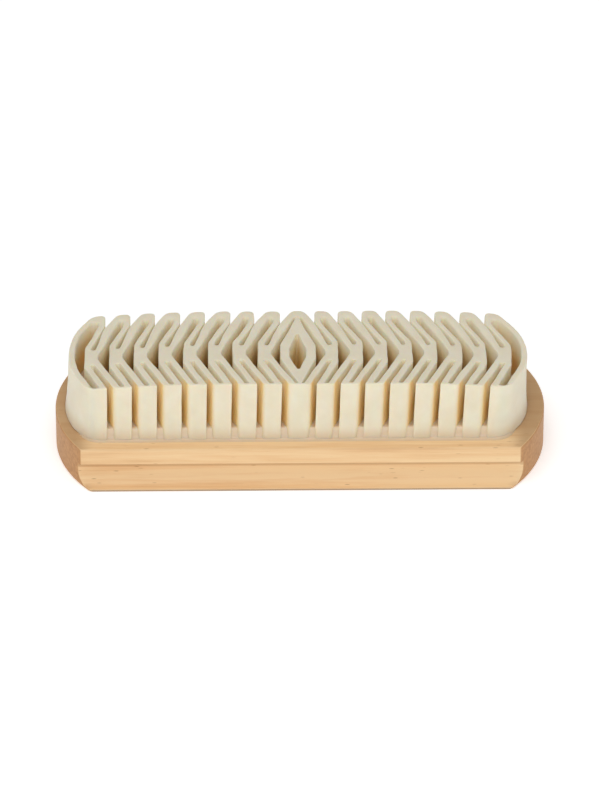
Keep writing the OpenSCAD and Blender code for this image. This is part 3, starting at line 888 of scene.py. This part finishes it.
def beechMaterial():
    # steamed beech, planed and sanded, no varnish: pinkish straw with fine dark ray flecks along the grain
    # and darker end grain
    look = beechLook
    material, tree, shader, place = newMaterial("steamed beech, planed and sanded", look["finish"])
    spot = addNode(tree, "ShaderNodeSeparateXYZ", links={"Vector": place})
    normal = addNode(tree, "ShaderNodeNewGeometry").outputs["Normal"]
    normal = addNode(tree, "ShaderNodeSeparateXYZ", links={"Vector": normal})
    faceX, faceY, farX = (
        addNode(tree, "ShaderNodeMath", unsigned, links={0: source}).outputs["Value"]
        for source in (normal.outputs["X"], normal.outputs["Y"], spot.outputs["X"])
    )
    along, rayPlace = (
        addNode(tree, "ShaderNodeMapping", inputs={"Scale": (share, 1.0, 1.0)},
                links={"Vector": place}).outputs["Vector"]
        for share in (look["drawnOut"], look["fleckDrawnOut"])
    )
    rays = addNode(tree, "ShaderNodeTexVoronoi", {"feature": "F1"}, {"Scale": 1 / (look["flecks"] * mm)},
                   {"Vector": rayPlace})

    # noise patterns: where each is read, its scale and its detail
    patterns = {
        "lines": (along, 1 / (look["line"] * mm), 4.0),
        "figure": (along, 1 / (look["figure"] * mm), 2.0),
        "pores": (along, 1 / (look["pore"] * mm), 2.0),
        "ends": (place, look["endPores"], 4.0),
    }
    noise = {
        name: addNode(tree, "ShaderNodeTexNoise", inputs={"Scale": scale, "Detail": detail, "Roughness": 0.6},
                      links={"Vector": source}).outputs["Fac"]
        for name, (source, scale, detail) in patterns.items()
    }

    # shares that ease from one value to another: what each is read from, from where, to where, first, last
    step = woodTop - blockShape["bandHeight"]
    fades = {
        "picked": (rays.outputs["Color"], 0.4, 0.7, 0.0, 0.6),
        # stain: painted shade on the top beside the pad's ends
        "stain": (farX, *(x * mm for x in look["endMarginShadeReach"]), 0.0, 0.7),
        "upper": (normal.outputs["Z"], 0.8, 0.98, 0.0, 1.0),
        # above and below: painted shadow line under the band's overhang at the step
        "above": (spot.outputs["Z"], *((step + z) * mm for z in look["stepShadowAbove"]), 0.5, 0.0),
        "below": (spot.outputs["Z"], *((step - z) * mm for z in look["stepShadowBelow"]), 0.0, 1.0),
        # sole: painted contact shadow along the bottom edge
        "sole": (spot.outputs["Z"], *(z * mm for z in look["footShadowHeight"]), 0.85, 0.0),
        "ends": (faceX, 0.3, 0.75, 0.0, 1.0),
    }
    fade = {
        name: addNode(tree, "ShaderNodeMapRange", eased,
                      {"From Min": near, "From Max": far, "To Min": first, "To Max": last},
                      {"Value": source}).outputs["Result"]
        for name, (source, near, far, first, last) in fades.items()
    }

    # wood tone: growth lines and the square of the broad figure
    squared = addNode(tree, "ShaderNodeMath", product, links={0: noise["figure"], 1: noise["figure"]})
    tone = addNode(tree, "ShaderNodeMath", {"operation": "MULTIPLY_ADD"}, {1: 0.55},
                   {0: noise["lines"], 2: squared.outputs["Value"]})
    colour = addNode(tree, "ShaderNodeValToRGB", links={"Fac": tone.outputs["Value"]},
                     stops=[(0.36, look["dark"]), (0.5, look["mid"]), (0.68, look["pale"])]).outputs["Color"]

    # marks, each over the ones before it: the middles of some cells of the drawn-out Voronoi pattern as ray
    # flecks, painted shade on the top beside the pad's ends, a painted shadow line under the band, a painted
    # contact shadow along the bottom edge
    core = addNode(tree, "ShaderNodeValToRGB", links={"Fac": rays.outputs["Distance"]},
                   stops=[(0.07, 1.0), (0.17, 0.0)]).outputs["Color"]
    stepShadow = addNode(tree, "ShaderNodeMath", product, links={0: fade["above"], 1: fade["below"]})
    marks = (("fleck", core, fade["picked"]), ("endMarginShade", fade["stain"], fade["upper"]),
             ("stepShadow", stepShadow.outputs["Value"], faceY), ("sole", fade["sole"], faceY))
    for tint, first, second in marks:
        share = addNode(tree, "ShaderNodeMath", product, links={0: first, 1: second}).outputs["Value"]
        colour = addNode(tree, "ShaderNodeMix", colourMix, {"B": linearColour(look[tint])},
                         {"Factor": share, "A": colour}).outputs["Result"]

    # end grain on the faces that look along the block
    endColour = addNode(tree, "ShaderNodeValToRGB", links={"Fac": noise["ends"]},
                        stops=[(0.3, look["endDark"]), (0.7, look["endPale"])]).outputs["Color"]
    colour = addNode(tree, "ShaderNodeMix", colourMix,
                     links={"Factor": fade["ends"], "A": colour, "B": endColour}).outputs["Result"]
    bump = addNode(tree, "ShaderNodeBump", inputs={"Strength": 0.3, "Distance": look["poreDepth"] * mm},
                   links={"Height": noise["pores"]})
    tree.links.new(colour, shader.inputs["Base Color"])
    tree.links.new(bump.outputs["Normal"], shader.inputs["Normal"])
    return material


block = buildBlock(beechMaterial())
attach(block, "root")
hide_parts("beech_block")
print("block built:", len(block.data.polygons), "faces")

# Studio: pale floor, soft light, camera at the photograph's angle

studio = {
    "floor": "#ffffff", "floorSide": 12.0,      # m
    "glow": 0.35,           # light that the floor gives off
    "world": 0.43,          # strength of the white surroundings
    "elevation": 33.0,      # degrees, how far the camera looks down, and from how far to the side
    "azimuth": -0.64,
    "distance": 1.6,        # m from the middle of the block's top
    "scale": 3.758,         # photograph pixels per mm there, and that spot's own pixel
    "centreX": 299.86, "centreY": 402.9,
    "width": 600, "height": 800,
    "sensor": 36.0,         # mm
    "lightTarget": (0, 0, 0.015),
    "softboxes": {          # place in m, width and depth in m, watts
        "frontSoftbox": ((0.15, -1.5, 0.95), (1.2, 0.9), 4.4),
        "topSoftbox": ((-0.2, -0.45, 1.6), (1.2, 1.2), 8.4),
    },
}


def aimed(thing, place, towards):
    # the thing at its place, turned so that it looks along towards, and linked to the scene
    thing.location = place
    thing.rotation_mode = "QUATERNION"
    thing.rotation_quaternion = towards.to_track_quat("-Z", "Y")
    bpy.context.scene.collection.objects.link(thing)


def buildFloor():
    # one square face at the height the brush rests on
    white, glow = linearColour(studio["floor"]), studio["glow"]
    finish = {"Base Color": white, "Roughness": 0.9, "Emission Color": white, "Emission Strength": glow}
    paint = newMaterial("light table, matt white", finish)[0]
    corners = np.array([[-1, -1, 0], [1, -1, 0], [1, 1, 0], [-1, 1, 0]]) * studio["floorSide"] / 2
    addPiece("studioFloor", corners, [[0, 1, 2, 3]], paint, smooth=False)


def buildLights():
    # rectangles of white light turned towards the brush
    for name, (place, size, power) in studio["softboxes"].items():
        data = bpy.data.lights.new(name, "AREA")
        data.shape = "RECTANGLE"
        data.size, data.size_y = size
        data.energy = power
        aimed(bpy.data.objects.new(name, data), place, Vector(studio["lightTarget"]) - Vector(place))


def buildCamera():
    # the photograph's camera: looks along -back, and its shift puts the block's top centre on its own pixel
    s = studio
    e, a = math.radians(s["elevation"]), math.radians(s["azimuth"])
    back = Vector((math.sin(a) * math.cos(e), -math.cos(a) * math.cos(e), math.sin(e)))
    target = Vector((0, 0, woodTop * mm))
    data = bpy.data.cameras.new("photoCamera")
    data.sensor_fit = "VERTICAL"
    data.sensor_height = s["sensor"]
    data.lens = s["sensor"] * s["scale"] / mm * s["distance"] / s["height"]
    data.shift_x = -(s["centreX"] - s["width"] / 2) / s["height"]
    data.shift_y = (s["centreY"] - s["height"] / 2) / s["height"]
    data.clip_start, data.clip_end = 0.05, 30
    camera = bpy.data.objects.new("photoCamera", data)
    aimed(camera, target + back * s["distance"], -back)
    bpy.context.scene.camera = camera


def buildWorld():
    # even white light from all round
    world = bpy.data.worlds.new("studioWorld")
    world.use_nodes = True
    background = world.node_tree.nodes["Background"]
    background.inputs["Color"].default_value = linearColour("#ffffff")
    background.inputs["Strength"].default_value = studio["world"]
    bpy.context.scene.world = world


buildFloor()
buildCamera()
buildWorld()
buildLights()
bpy.context.scene.view_settings.view_transform = "Standard"
print("studio ready")
